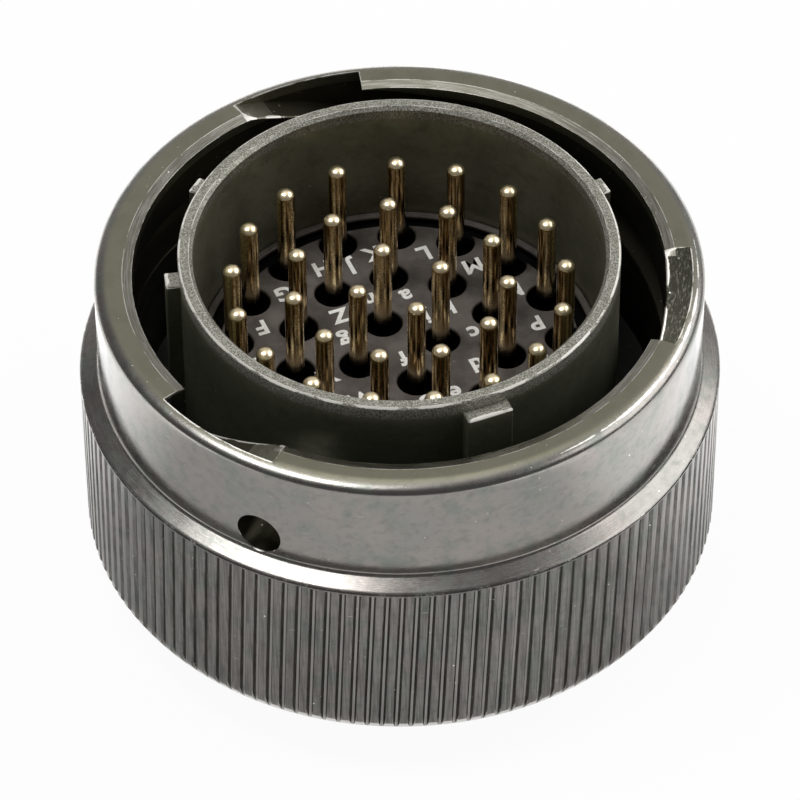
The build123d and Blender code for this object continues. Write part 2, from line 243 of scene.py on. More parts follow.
class Skin:
    """Faces over shared points: equal points become one vertex."""

    def __init__(self):
        self.index = {}
        self.points = []
        self.wear = []
        self.faces = []

    def at(self, x, y, z, wear=0.0):
        """Vertex at a place in millimetres."""
        key = tuple(round(c * POINTS_PER_MM) for c in (x, y, z))
        if key not in self.index:
            self.index[key] = len(self.points)
            self.points.append([c * MM for c in (x, y, z)])
            self.wear.append(wear)
        return self.index[key]

    def vertex(self, angle, radius, z, wear=0.0):
        """Vertex at an angle in degrees, and a radius and z in millimetres."""
        a = radians(angle)
        return self.at(radius * cos(a), radius * sin(a), z, wear)

    def column(self, angle, points):
        """Vertices at an angle, of points (radius, z) or (radius, z, wear)."""
        return [self.vertex(angle, *point) for point in points]

    def face(self, *corners):
        loop = [c for k, c in enumerate(corners) if c != corners[k - 1]]
        if len(set(loop)) == len(loop) >= 3:
            self.faces.append(loop)

    def strip(self, left, right, closed=False):
        """Quads between two rows with the same number of points."""
        count = len(left)
        for k in range(count if closed else count - 1):
            n = (k + 1) % count
            self.face(left[k], left[n], right[n], right[k])

    def wrap(self, columns, closed=False):
        """Strips between neighbouring columns, all the way round."""
        for k in range(len(columns)):
            self.strip(columns[k - 1], columns[k], closed)

    def mesh(self, name, sharp=30.0):
        """Mesh of the faces. Faces that fold flat onto each other cancel out."""
        seen = {}
        for loop in self.faces:
            seen.setdefault(frozenset(loop), []).append(loop)
        kept = [loops[0] for loops in seen.values() if len(loops) % 2]
        data = bpy.data.meshes.new(name)
        data.from_pydata(self.points, [], kept)
        attribute = data.attributes.new("wear", "FLOAT", "POINT")
        attribute.data.foreach_set("value", self.wear)
        tidy(data, sharp)
        return data


def tidy(data, sharp=30.0):
    """Faces turned outwards, smooth but for edges over an angle."""
    work = bmesh.new()
    work.from_mesh(data)
    loose = [v for v in work.verts if not v.link_faces]
    bmesh.ops.delete(work, geom=loose, context="VERTS")
    bmesh.ops.recalc_face_normals(work, faces=work.faces)
    work.to_mesh(data)
    work.free()
    data.shade_smooth()
    data.set_sharp_from_angle(angle=radians(sharp))


def add_object(data, material=None):
    """Object of a mesh, curve, lamp or camera, in the scene."""
    piece = bpy.data.objects.new(data.name, data)
    bpy.context.scene.collection.objects.link(piece)
    if material:
        data.materials.append(material)
    return piece


def carve(piece, cutter):
    """Cut one closed mesh out of another, and remove the cutter."""
    step = piece.modifiers.new("carve", "BOOLEAN")
    step.operation = "DIFFERENCE"
    step.solver = "MANIFOLD"
    step.object = cutter
    graph = bpy.context.evaluated_depsgraph_get()
    done = bpy.data.meshes.new_from_object(piece.evaluated_get(graph))
    piece.modifiers.remove(step)
    old = piece.data
    done.name = old.name
    piece.data = done
    bpy.data.meshes.remove(old)
    bpy.data.objects.remove(cutter)
    tidy(done)


def dress(piece, material):
    """One material on the whole piece."""
    piece.data.materials.clear()
    piece.data.materials.append(material)


# ---- Coupling nut

def guide_floor(t):
    """Height of the guide's lower side, at t degrees past a slot's start."""
    if t < SLOT_SPAN:
        return NUT_FRONT_Z - (GUIDE_WIDTH + LIP_THICKNESS) * t / SLOT_SPAN
    return guide_roof(t) - GUIDE_WIDTH


def guide_roof(t):
    """Height of the guide's upper side, from the lip down to the detent hole."""
    share = (t - SLOT_SPAN) / (RAMP_SPAN - SLOT_SPAN)
    first = NUT_FRONT_Z - LIP_THICKNESS
    return first + (DETENT_Z + GUIDE_WIDTH / 2 - first) * share


def crown_z(radius):
    """Height of the nut's rounded rim."""
    share = (radius - (BAND_RADIUS - CROWN_WIDTH)) / CROWN_WIDTH
    if share <= 0:
        return NUT_FRONT_Z
    return NUT_FRONT_Z - CROWN_DEPTH * (1 - sqrt(max(0.0, 1 - share * share)))


def crown_wear_and_highlight(angle):
    """How far the rim's rounding is worn bright, plus a painted highlight that is strongest at one angle, where the
    right lamp catches the rim.
    """
    toward = max(0.0, cos(radians(angle - CROWN_HIGHLIGHT_ANGLE)))
    return CROWN_WEAR + CROWN_PAINTED_HIGHLIGHT * toward ** CROWN_HIGHLIGHT_POWER


def outer_row(worn):
    """Radius, height and wear from the knurl's top up to the crown; the crown's worn row also carries the painted
    highlight.
    """
    row = [
        (KNURL_RADIUS - 0.2, KNURL_TOP_Z + 0.2 * SHOULDER_FALL / SHOULDER_RUN),
        (BAND_RADIUS + 0.5, BAND_FOOT_Z - FOOT_STEP - 0.38 * SHOULDER_FALL / SHOULDER_RUN),
        (BAND_RADIUS + FOOT_STEP + 0.04, BAND_FOOT_Z - FOOT_STEP - 0.02),
        (BAND_RADIUS + FOOT_STEP, BAND_FOOT_Z - FOOT_STEP),
        (BAND_RADIUS + 0.02, BAND_FOOT_Z - 0.02),
        (BAND_RADIUS, BAND_FOOT_Z + 0.02, 0.3),
        (BAND_RADIUS, BAND_FOOT_Z + WEAR_FADE),
    ]
    row += [(BAND_RADIUS, z) for z in BAND_ROWS]
    for s in (90, 79, 68, 57, 47, 37, 27):
        a = radians(s)
        radius = BAND_RADIUS - CROWN_WIDTH + CROWN_WIDTH * sin(a)
        # On this row the wear also carries the crown's painted highlight.
        row.append((radius, crown_z(radius), worn if s == 37 else 0.0))
    return row


def lip_points(t):
    """Points over the lip that covers the guide: face, brushed chamfer and underside."""
    roof = guide_roof(t)
    mouth = NUT_FRONT_Z - LIP_CHAMFER_DEPTH
    slope = LIP_CHAMFER_DEPTH / LIP_CHAMFER_WIDTH
    bevel = min(EDGE, 0.3 * (mouth - roof))
    chamfer = NUT_BORE + LIP_CHAMFER_WIDTH
    end = 0.9 if t == SLOT_SPAN else 0.0
    return [
        (GUIDE_RADIUS, crown_z(GUIDE_RADIUS)), (FACE_RIM, crown_z(FACE_RIM), end), (FACE_EDGE, NUT_FRONT_Z, end),
        (chamfer + 0.05, NUT_FRONT_Z, end), (chamfer, NUT_FRONT_Z, 0.85),
        (chamfer - 0.05, NUT_FRONT_Z - 0.05 * slope), (NUT_BORE + 0.09, mouth + 0.09 * slope),
        (NUT_BORE + 0.03, mouth + 0.008, 0.8), (NUT_BORE, mouth - bevel),
        (NUT_BORE, roof + bevel, end), (NUT_BORE + bevel, roof), (GUIDE_RADIUS, roof),
    ]


def detent_points(t):
    """Points round the detent hole in which the ramp of the sector before ends, with their own angles."""
    half = GUIDE_WIDTH / 2
    middle = RAMP_SPAN - SECTOR
    across = min(half, NUT_BORE * sin(radians(t - middle)))
    rise = sqrt(max(0.0, half * half - across * across))
    mouth = 1 + EDGE / half
    points = (
        (NUT_BORE, mouth, 1, 0.0), (NUT_BORE + EDGE, 1, 1, 0.0), (GUIDE_RADIUS, 1, 1, 0.0),
        (GUIDE_RADIUS, 1, -1, 0.0), (NUT_BORE + EDGE + LEDGE_FADE, 1, -1, 0.0), (NUT_BORE + EDGE, 1, -1, 0.4),
        (NUT_BORE, mouth, -1, 0.4), (NUT_BORE, mouth + WEAR_FADE / half, -1, 0.0),
    )
    return [
        (middle + degrees(asin(across * grow / r)), r, DETENT_Z + side * rise * grow, wear)
        for r, grow, side, wear in points
    ]


def inner_row(t, covered, end_angle):
    """(t, radius, height, wear) from the crown to the bore, at t degrees past a slot's start."""
    floor = guide_floor(t)
    crown = crown_z(GUIDE_RADIUS)
    mouth = NUT_FRONT_Z - LIP_CHAMFER_DEPTH
    if covered:
        points = lip_points(t)
    else:
        low = max(floor, NUT_FRONT_Z - LIP_THICKNESS)
        points = [(GUIDE_RADIUS, crown, 1.0)] * 11 + [(GUIDE_RADIUS, min(low, crown))]
    cross = NUT_BORE + LIP_CHAMFER_WIDTH * (floor - mouth) / LIP_CHAMFER_DEPTH
    edge = max(cross, NUT_BORE + EDGE)
    worn = 0.4 if covered else 1.0
    beside = edge + LEDGE_FADE
    points += [
        (GUIDE_RADIUS, min(floor, crown), 0.0 if covered else 0.4),
        (min(beside, GUIDE_RADIUS), min(floor, crown) if beside > FACE_EDGE else floor, 0.0 if t else 0.7),
        (edge, floor, worn),
        (NUT_BORE, min(mouth, floor - EDGE), worn),
        (NUT_BORE, min(mouth, floor - EDGE) - WEAR_FADE),
    ]
    row = [(t, *point) for point in points]
    past = t + SECTOR
    if t > end_angle:
        share = (t - end_angle) / (SECTOR - end_angle)
        last = guide_floor(SECTOR) - EDGE - WEAR_FADE
        return row + [(t, NUT_BORE, DETENT_Z + (last - DETENT_Z) * share)] * 8
    if past > RAMP_SPAN:
        return row + detent_points(t)
    roof, low = guide_roof(past), guide_floor(past)
    ramp = (
        (NUT_BORE, roof + EDGE), (NUT_BORE + EDGE, roof), (GUIDE_RADIUS, roof),
        (GUIDE_RADIUS, low), (NUT_BORE + EDGE + LEDGE_FADE, low), (NUT_BORE + EDGE, low, 0.4),
        (NUT_BORE, low - EDGE, 0.4), (NUT_BORE, low - EDGE - WEAR_FADE),
    )
    return row + [(t, *point) for point in ramp]


# Points of the next sector's first row that the last row of a sector meets
CLOSING = (12, 12, 13, 13, 14, 14, 15, 15, *range(16, 25)) + (24,) * 8


def bore_row():
    """Radius, height and wear from the bore down to the rear end."""
    return [
        (NUT_BORE, BORE_ROW), (NUT_BORE, NUT_SHOULDER_Z + CORNER), (NUT_BORE + CORNER, NUT_SHOULDER_Z),
        (COUNTERBORE, NUT_SHOULDER_Z), (COUNTERBORE, RING_GROOVE_TOP), (RING_GROOVE, RING_GROOVE_TOP),
        (RING_GROOVE, RING_GROOVE_LOW), (COUNTERBORE, RING_GROOVE_LOW),
        (COUNTERBORE, NUT_BOTTOM_Z + COUNTER_CHAMFER, 0.3),
        (COUNTERBORE + COUNTER_CHAMFER, NUT_BOTTOM_Z, 0.5),
        (COUNTERBORE + COUNTER_CHAMFER + 0.08, NUT_BOTTOM_Z),
        (KNURL_RADIUS - FOOT_CHAMFER_WIDTH - 0.12, NUT_BOTTOM_Z),
    ]


def knurl_columns():
    """Offset from a groove's middle, depth below the lands and wear, across one groove's pitch."""
    half_pitch = pi * KNURL_RADIUS / KNURL_COUNT
    half_mouth, half_floor = KNURL_GROOVE_WIDTH / 2, KNURL_GROOVE_FLOOR / 2
    dip = KNURL_DEPTH * KNURL_CUT_WEAR / (half_mouth - half_floor)
    side = [
        (half_floor, KNURL_DEPTH, 0.0), (half_mouth - KNURL_CUT_WEAR, dip, 0.3),
        (half_mouth + KNURL_LAND_WEAR, 0.0, 0.3), (KNURL_LAND, 0.0, 0.0),
    ]
    left = [(-u, depth, wear) for u, depth, wear in reversed(side)]
    return left + [(0.0, KNURL_DEPTH, 0.0)] + side + [(half_pitch, 0.0, 0.0)]


def knurl_rows(skin):
    """Fine rows of vertices from the knurl's top edge to the nut's lower edge."""
    groove_top = KNURL_TOP_Z - KNURL_TOP_MARGIN
    middle_z = (NUT_BOTTOM_Z - 1 + groove_top) / 2
    lean = degrees(tan(radians(KNURL_LEAN)) / KNURL_RADIUS)
    last = KNURL_RADIUS - FOOT_CHAMFER_WIDTH
    pitch = 360.0 / KNURL_COUNT
    first = pitch * round(SLOT_START_ANGLE / pitch)
    grid = [
        (first - pitch * k + degrees(u / KNURL_RADIUS), depth, wear)
        for k in range(KNURL_COUNT) for u, depth, wear in reversed(knurl_columns())
    ]

    def row(place):
        """A vertex in every column, at the (radius, z, wear) that its depth and wear lead to."""
        points = [(a, *place(depth, wear)) for a, depth, wear in grid]
        return [skin.vertex(a + (z - middle_z) * lean + KNURL_PHASE, r, z, wear) for a, r, z, wear in points]

    def chamfered(depth, wear):
        return KNURL_RADIUS - depth, NUT_BOTTOM_Z + FOOT_CHAMFER_HEIGHT * (1 - depth / FOOT_CHAMFER_WIDTH), 0.0

    above = [(KNURL_RADIUS - 0.06, KNURL_TOP_Z + 0.03, 0.5), (KNURL_RADIUS, KNURL_TOP_Z - 0.05, 0.5)]
    above += [(KNURL_RADIUS, groove_top + 0.02, 0.0)]
    below = [(last + 0.01, NUT_BOTTOM_Z + 0.02, 0.0), (last - 0.05, NUT_BOTTOM_Z, 0.0)]
    rows = [row(lambda depth, wear: point) for point in above]
    rows += [row(lambda depth, wear: (KNURL_RADIUS - depth, z, wear)) for z in (groove_top - 0.02, *KNURL_ROWS)]
    return rows + [row(chamfered)] + [row(lambda depth, wear: point) for point in below]


def make_nut():
    """Nut in three equal sectors, its knurl a finer skin that the sectors' columns join."""
    skin = Skin()
    step = SECTOR / NUT_SECTIONS
    middle = RAMP_SPAN - SECTOR
    end_angle = middle + degrees(asin(GUIDE_WIDTH / 2 / NUT_BORE))
    samples = [(t, False) for t in (0.0, 0.8, 1.6)]
    for k in range(ARC_STEPS + 1):
        across = GUIDE_WIDTH / 2 * sin(radians(90 * k / ARC_STEPS))
        samples.append((middle + degrees(asin(across / NUT_BORE)), False))
    for k in range(1, SLOT_STEPS + 1):
        samples.append((end_angle + (SLOT_SPAN - end_angle) * k / SLOT_STEPS, False))
    rest = NUT_SECTIONS - len(samples)
    for k in range(rest + 1):
        samples.append((SLOT_SPAN + (SECTOR - SLOT_SPAN) * k / rest, True))
    columns = []
    for sector in range(3):
        start = SLOT_START_ANGLE - SECTOR * sector
        for k, (t, covered) in enumerate(samples):
            regular = start - step * k
            column = skin.column(regular, outer_row(crown_wear_and_highlight(regular)))
            row = inner_row(t, covered, end_angle)
            if k == NUT_SECTIONS:
                opening = inner_row(0.0, False, end_angle)
                row = [(SECTOR, *opening[m][1:]) for m in CLOSING]
            column += [skin.vertex(start - a, *point) for a, *point in row]
            column += skin.column(regular, bore_row())
            columns.append(column)
            if k:
                skin.strip(columns[-2], column)
    single = [c for k, c in enumerate(columns) if k % (NUT_SECTIONS + 1) != NUT_SECTIONS]
    rows = knurl_rows(skin)
    for upper, lower in zip(rows, rows[1:]):
        skin.strip(upper, lower, closed=True)
    for place, fine in ((0, rows[0]), (-1, rows[-1])):
        coarse = [c[place] for c in single]
        count, corner = len(coarse), Vector(skin.points[coarse[0]])
        shift = min(range(len(fine)), key=lambda k: (Vector(skin.points[fine[k]]) - corner).length)
        for k in range(count):
            a, b, c = ((2 * k + shift + m) % len(fine) for m in range(3))
            skin.face(coarse[k], fine[a], fine[b], fine[c], coarse[(k + 1) % count])
    return skin.mesh("coupling_nut_body")


def hole_cutter(angle):
    """Round cutter for a detent hole, flared where it leaves the band."""
    skin = Skin()
    radius = GUIDE_WIDTH / 2 - 0.005
    profile = [(0, GUIDE_RADIUS - 0.3), (radius, GUIDE_RADIUS - 0.3), (radius, BAND_RADIUS - 0.07)]
    profile += [(radius + 0.05, BAND_RADIUS + 0.005), (radius + 0.12, BAND_RADIUS + 1.0), (0, BAND_RADIUS + 1.0)]
    columns = []
    for a in map(radians, around(HOLE_SEGMENTS)):
        column = []
        for r, reach in profile:
            across, z = r * cos(a), DETENT_Z + r * sin(a)
            radial = hypot(reach, across)
            column.append(skin.vertex(angle + degrees(atan2(across, reach)), radial, z))
        columns.append(column)
    skin.wrap(columns)
    return add_object(skin.mesh("hole_cutter"))


# ---- Shell

def barrel_row(kind, across):
    """Points (radius, z, wear) down the barrel's outside, for a bare, base, side or key section."""
    low, high = KEY_BOTTOM_Z, KEY_TOP_Z
    if kind in ("base", "side"):
        low, high = low + EDGE, high - EDGE
    reach = {"bare": BARREL_RADIUS, "base": BARREL_RADIUS, "side": KEY_REACH - EDGE, "key": KEY_REACH}[kind]
    edge = 0.0 if kind in ("bare", "base") else 1.0
    faint = 0.4 if kind == "side" else 0.0
    cut = EDGE if kind == "key" else 0.0
    lip, reach = (hypot(x, across) if x > BARREL_RADIUS else x for x in (reach - cut, reach))
    return [
        (BARREL_RADIUS, high, 0.0),
        ((BARREL_RADIUS + lip) / 2 if edge else BARREL_RADIUS, high, 0.0 if kind == "key" else edge),
        (lip, high, edge), (reach, high - cut, edge), (reach, high - cut - WEAR_FADE, faint),
        (reach, low + cut + WEAR_FADE, faint), (reach, low + cut, edge), (lip, low, edge), (BARREL_RADIUS, low, 0.0),
    ]


def make_shell():
    """Barrel with its keys and the flange, down to where the accessory thread's piece begins."""
    skin = Skin()
    sections, keys = [], []
    places = [(MASTER_KEY_ANGLE, MASTER_KEY_WIDTH / 2)]
    places += [(MASTER_KEY_ANGLE - a, MINOR_KEY_WIDTH / 2) for a in MINOR_KEY_ANGLES]
    for middle, half in places:
        inner = half - EDGE
        steps = max(2, round(2 * inner / KEY_STEP))
        row = [("base", -half), ("side", -half), ("key", -inner)]
        row += [("key", KEY_MARGIN - inner + 2 * (inner - KEY_MARGIN) * k / steps) for k in range(steps + 1)]
        row += [("key", inner), ("side", half), ("base", half)]
        sections += [(middle + degrees(asin(y / BARREL_RADIUS)), kind, y, middle) for kind, y in row]
        keys.append((middle, degrees(asin(half / BARREL_RADIUS))))
    for a in around(BARREL_SECTIONS):
        a -= 180
        if all(abs((a - middle + 180) % 360 - 180) > reach + 0.3 for middle, reach in keys):
            sections.append((a, "bare", 0.0, a))
    order = {"bare": 0, "base": 0, "side": 1, "key": 2}

    def place(section):
        """Where a section comes on the way round; at a key's flank its base, side and top follow in turn."""
        a, kind, y, middle = section
        return round((a - 5.0) % 360, 4), order[kind] * (1 if y < 0 else -1)

    bore, chamfered, rim = BARREL_BORE, BARREL_BORE + RIM_BORE_CHAMFER, BARREL_RIM_Z
    inside = [
        (REAR_BORE, THREAD_PIECE_TOP), (REAR_BORE, INSERT_SHOULDER_Z), (bore, INSERT_SHOULDER_Z),
        (bore, 15.0), (bore, 20.0), (bore, rim - RIM_BORE_CHAMFER - RIM_SIDE_FADE), (bore, rim - RIM_BORE_CHAMFER),
        (chamfered - RIM_FADE, rim - RIM_FADE), (chamfered, rim, 0.8), (chamfered + RIM_FADE, rim),
        (BARREL_RADIUS - RIM_BREAK - RIM_FADE, rim), (BARREL_RADIUS - RIM_BREAK, rim, 1.0),
        (BARREL_RADIUS, rim - RIM_BREAK, 0.5), (BARREL_RADIUS, rim - RIM_BREAK - RIM_SIDE_FADE),
    ]
    front, rear = FLANGE_FRONT_Z, FLANGE_REAR_Z
    below = [
        (BARREL_RADIUS, front + CORNER), (BARREL_RADIUS + CORNER, front), (FLANGE_RADIUS - FLANGE_EDGE, front),
        (FLANGE_RADIUS, front - FLANGE_EDGE), (FLANGE_RADIUS, rear + FLANGE_EDGE), (FLANGE_RADIUS - FLANGE_EDGE, rear),
        (NECK_RADIUS + CORNER, rear), (NECK_RADIUS, rear - CORNER), (NECK_RADIUS, THREAD_PIECE_TOP),
    ]
    columns = []
    for a, kind, y, middle in sorted(sections, key=place):
        column = skin.column(a, inside)
        for radius, z, wear in barrel_row(kind, y):
            turn = degrees(asin(y / radius)) if y else 0.0
            column.append(skin.vertex(middle + turn, radius, z, wear))
        columns.append(column + skin.column(a, below))
    skin.wrap(columns, closed=True)
    return skin.mesh("plug_shell_body")


def thread_radius(angle, z):
    """Surface of the accessory thread, which runs out to the neck and is chamfered at its end."""
    phase = (z / THREAD_PITCH - angle / 360.0) % 1.0
    flank = min(phase, 1.0 - phase) * 2
    share = min(1.0, max(0.0, (flank - THREAD_CREST) / THREAD_FLANK))
    radius = THREAD_RADIUS - THREAD_DEPTH * share
    over = z - THREAD_LENGTH
    if over > 0:
        radius = min(radius, max(NECK_RADIUS, THREAD_RADIUS - over * THREAD_RUNOUT_SLOPE))
        blend = min(1.0, over / THREAD_RUNOUT)
        radius = radius * (1 - blend) + NECK_RADIUS * blend
    return min(radius, THREAD_RADIUS - THREAD_CHAMFER + z)


def make_thread():
    """Threaded rear end of the shell."""
    skin = Skin()
    top = THREAD_PIECE_TOP - 0.002
    columns = []
    for a in around(THREAD_SEGMENTS):
        points = [(REAR_BORE, top), (REAR_BORE, THREAD_EDGE), (REAR_BORE + THREAD_EDGE, 0.0, 0.5)]
        for k in range(THREAD_ROWS + 1):
            z = top * k / THREAD_ROWS
            radius = thread_radius(a, z)
            points.append((radius, z, 0.5 if radius > THREAD_RADIUS - 0.03 or k == 0 else 0.0))
        columns.append(skin.column(a, points))
    skin.wrap(columns, closed=True)
    return skin.mesh("accessory_thread", 40.0)


def make_wave_spring():
    """Flat strip with broken edges, bent into waves."""
    skin = Skin()
    half, inner, outer = SPRING_THICKNESS / 2, SPRING_RADIUS - SPRING_WIDTH, SPRING_RADIUS
    middle, swing = (SPRING_TOP_Z + SPRING_LOW_Z) / 2, (SPRING_TOP_Z - SPRING_LOW_Z) / 2 - half
    edge = SPRING_EDGE
    lower = [(inner, edge - half), (inner + edge, -half), (inner + 0.2, -half)]
    lower += [(outer - 0.2, -half), (outer - edge, -half), (outer, edge - half)]
    profile = lower + [(r, -z) for r, z in reversed(lower)]
    columns = []
    for a in around(SPRING_SEGMENTS):
        level = middle + swing * cos(radians(SPRING_WAVES * a))
        points = [(r, level + z, 0.0 if inner + 0.1 < r < outer - 0.1 else 0.6) for r, z in profile]
        columns.append(skin.column(a, points))
    skin.wrap(columns, closed=True)
    return skin.mesh("wave_spring_strip")


# ---- Contacts and seal

def ring_places(radius, count, first_angle):
    """Centres of the contacts in a ring, clockwise from its first angle."""
    step = 360.0 / count
    angles = [radians(first_angle - step * k) for k in range(count)]
    return [(radius * cos(a), radius * sin(a)) for a in angles]


OUTER_PLACES = ring_places(OUTER_RING, OUTER_COUNT, MASTER_KEY_ANGLE - 180.0 / OUTER_COUNT)
MIDDLE_PLACES = ring_places(MIDDLE_RING, MIDDLE_COUNT, MASTER_KEY_ANGLE)
INNER_PLACES = ring_places(INNER_RING, INNER_COUNT, MASTER_KEY_ANGLE + 180.0)


def pin_profile():
    """Radius and z of a contact, from its tip down, round the rear end and up the wire well."""
    top = PIN_TIP_Z - PIN_TIP_HEIGHT
    profile = [(0.0, PIN_TIP_Z)]
    for s in range(10, 100, 10):
        a = radians(s)
        profile.append((PIN_RADIUS * sin(a), top + PIN_TIP_HEIGHT * cos(a)))
    body, collar = PIN_COLLAR_Z, PIN_COLLAR_Z + PIN_COLLAR_LENGTH
    return profile + [
        (PIN_RADIUS, 17.5), (PIN_RADIUS, PIN_FOOT_Z + 0.14), (PIN_RADIUS - 0.02, PIN_FOOT_Z + 0.06),
        (PIN_RADIUS - 0.05, PIN_FOOT_Z), (PIN_NECK, PIN_FOOT_Z - 0.03), (PIN_NECK, PIN_NECK_LOW_Z),
        (PIN_ROOT, PIN_NECK_LOW_Z - 0.15), (PIN_ROOT, PIN_BODY_TOP_Z),
        (PIN_BODY, PIN_BODY_TOP_Z), (PIN_BODY, collar), (PIN_COLLAR, collar), (PIN_COLLAR, body), (PIN_REAR, body),
        (PIN_REAR, PIN_REAR_Z + PIN_EDGE), (PIN_REAR - PIN_EDGE, PIN_REAR_Z), (WELL_RADIUS + PIN_EDGE, PIN_REAR_Z),
        (WELL_RADIUS, PIN_REAR_Z + PIN_EDGE), (WELL_RADIUS, PIN_REAR_Z + WELL_DEPTH), (0.0, PIN_REAR_Z + WELL_DEPTH),
    ]


def turn_round(skin, centre, profile, segments):
    """Skin of a profile of radius and z, turned round an axis that stands at a centre."""
    x, y = centre
    steps = map(radians, around(segments))
    skin.wrap([[skin.at(x + r * cos(a), y + r * sin(a), z) for r, z in profile] for a in steps])


def make_pin(name, place):
    """Contact that stands at a place."""
    skin = Skin()
    turn_round(skin, place, pin_profile(), PIN_SEGMENTS)
    return skin.mesh(name, 35.0)


def recess_cutter(places):
    """Cutters for the recess and the contact's hole at every place in the seal."""
    skin = Skin()
    hole = PIN_ROOT + PIN_HOLE_GAP
    floor = SEAL_FACE_Z - RECESS_DEPTH
    profile = [(0.0, SEAL_REAR_Z - 0.5), (hole, SEAL_REAR_Z - 0.5), (hole, floor), (RECESS_RADIUS, floor)]
    profile += [(RECESS_RADIUS, SEAL_FACE_Z - SEAL_EDGE), (RECESS_RADIUS + SEAL_EDGE, SEAL_FACE_Z + 0.002)]
    profile += [(RECESS_RADIUS + SEAL_EDGE, SEAL_FACE_Z + 1.0), (0.0, SEAL_FACE_Z + 1.0)]
    for place in places:
        turn_round(skin, place, profile, RECESS_SEGMENTS)
    return add_object(skin.mesh("recess_cutter"))


def make_seal():
    """Seal with a raised rim, and a recess and hole for every contact."""
    skin = Skin()
    face, edge = SEAL_FACE_Z, SEAL_EDGE
    groove = face - SEAL_GROOVE_DEPTH
    profile = [
        (0.0, SEAL_REAR_Z), (SEAL_RADIUS, SEAL_REAR_Z), (SEAL_RADIUS, face - edge), (SEAL_RADIUS - edge, face, 0.3),
        (SEAL_RIM_INNER + edge, face, 0.3), (SEAL_RIM_INNER, face - edge, 0.3), (SEAL_RIM_INNER, groove),
        (SEAL_FACE_RADIUS, groove), (SEAL_FACE_RADIUS, face - edge, 0.3), (SEAL_FACE_RADIUS - edge, face, 0.3),
        (0.0, face),
    ]
    skin.wrap([skin.column(a, profile) for a in around(SEAL_SEGMENTS)])
    seal = add_object(skin.mesh("interfacial_seal_body"))
    carve(seal, recess_cutter(OUTER_PLACES + MIDDLE_PLACES + INNER_PLACES))
    return seal


# ---- Materials

class Nodes:
    """Shorthand for building a node tree. Lengths in its patterns are millimetres."""

    def __init__(self, tree):
        self.tree = tree
        self.tree.nodes.clear()

    def new(self, kind, inputs=None, **settings):
        """A node with its settings, and its inputs linked or set."""
        node = self.tree.nodes.new("ShaderNode" + kind)
        for name, value in settings.items():
            setattr(node, name, value)
        for socket, value in (inputs or {}).items():
            self.connect(value, node.inputs[socket])
        return node

    def connect(self, value, socket):
        if isinstance(value, bpy.types.NodeSocket):
            self.tree.links.new(value, socket)
        else:
            socket.default_value = value

    def math(self, operation, *values):
        return self.new("Math", dict(enumerate(values)), operation=operation).outputs["Value"]

    def plus(self, first, second):
        return self.math("ADD", first, second)

    def times(self, first, *others):
        for other in others:
            first = self.math("MULTIPLY", first, other)
        return first

    def most(self, first, second):
        return self.math("MAXIMUM", first, second)

    def above(self, value, limit):
        return self.math("GREATER_THAN", value, limit)

    def below(self, value, limit):
        return self.math("LESS_THAN", value, limit)

    def scaled(self, vector, scale):
        return self.new("VectorMath", {0: vector, "Scale": scale}, operation="SCALE").outputs["Vector"]

    def along(self, vector, direction):
        return self.new("VectorMath", {0: vector, 1: direction}, operation="DOT_PRODUCT").outputs["Value"]

    def join(self, x, y, z):
        return self.new("CombineXYZ", {0: x, 1: y, 2: z}).outputs[0]

    def stretch(self, vector, size, shift=(0.0, 0.0, 0.0), turn=0.0):
        """The vector divided by a size in each direction, for patterns of unit size."""
        inputs = {"Vector": vector, "Location": shift, "Rotation": (0.0, 0.0, radians(turn)), "Scale": size}
        return self.new("Mapping", inputs, vector_type="TEXTURE").outputs["Vector"]

    def noise(self, vector, size, detail=3.0, roughness=0.5, shift=(0.0, 0.0, 0.0)):
        inputs = {"Vector": self.stretch(vector, size, shift), "Scale": 1.0, "Detail": detail, "Roughness": roughness}
        return self.new("TexNoise", inputs).outputs["Fac"]

    def cells(self, vector, output="Distance"):
        return self.new("TexVoronoi", {"Vector": vector, "Scale": 1.0}).outputs[output]

    def span(self, value, low, high, to_low=0.0, to_high=1.0):
        """The value carried from one range to another, with soft ends."""
        inputs = {"Value": value, "From Min": low, "From Max": high, "To Min": to_low, "To Max": to_high}
        return self.new("MapRange", inputs, interpolation_type="SMOOTHSTEP").outputs["Result"]

    def fall(self, value, low, high):
        """1 up to the low value, 0 from the high one."""
        return self.span(value, low, high, 1.0, 0.0)

    def blend(self, share, first, second):
        """Mix of two colours."""
        first, second = ((*c, 1.0) if isinstance(c, tuple) else c for c in (first, second))
        return self.new("Mix", {0: share, 6: first, 7: second}, data_type="RGBA").outputs[2]

    def scratches(self, vector, length, width, turn, reach, shift=0.0):
        """Thin broken lines, 0 to 1: long cells whose middle line shows where a slow noise lets it."""
        place = self.stretch(vector, (length, width, width * 4), (shift, shift, 0.0), turn)
        line = self.fall(self.cells(place), 0.04, 0.10)
        slow = self.noise(vector, (length * 0.8,) * 3, shift=(shift * 2, 0.0, 0.0))
        return self.times(line, self.span(slow, reach, reach + 0.06))

    def specks(self, vector, spacing, size, share, shift=0.0):
        """Small dots, 0 to 1, in the given share of the cells."""
        place = self.stretch(vector, (spacing,) * 3, (shift, shift, shift))
        dot = self.fall(self.cells(place), size * 0.6, size)
        lot = self.new("SeparateColor", {0: self.cells(place, "Color")}).outputs[0]
        return self.times(dot, self.below(lot, share))

    def bump(self, height, distance, strength):
        inputs = {"Height": height, "Distance": distance * MM, "Strength": strength}
        return self.new("Bump", inputs).outputs["Normal"]


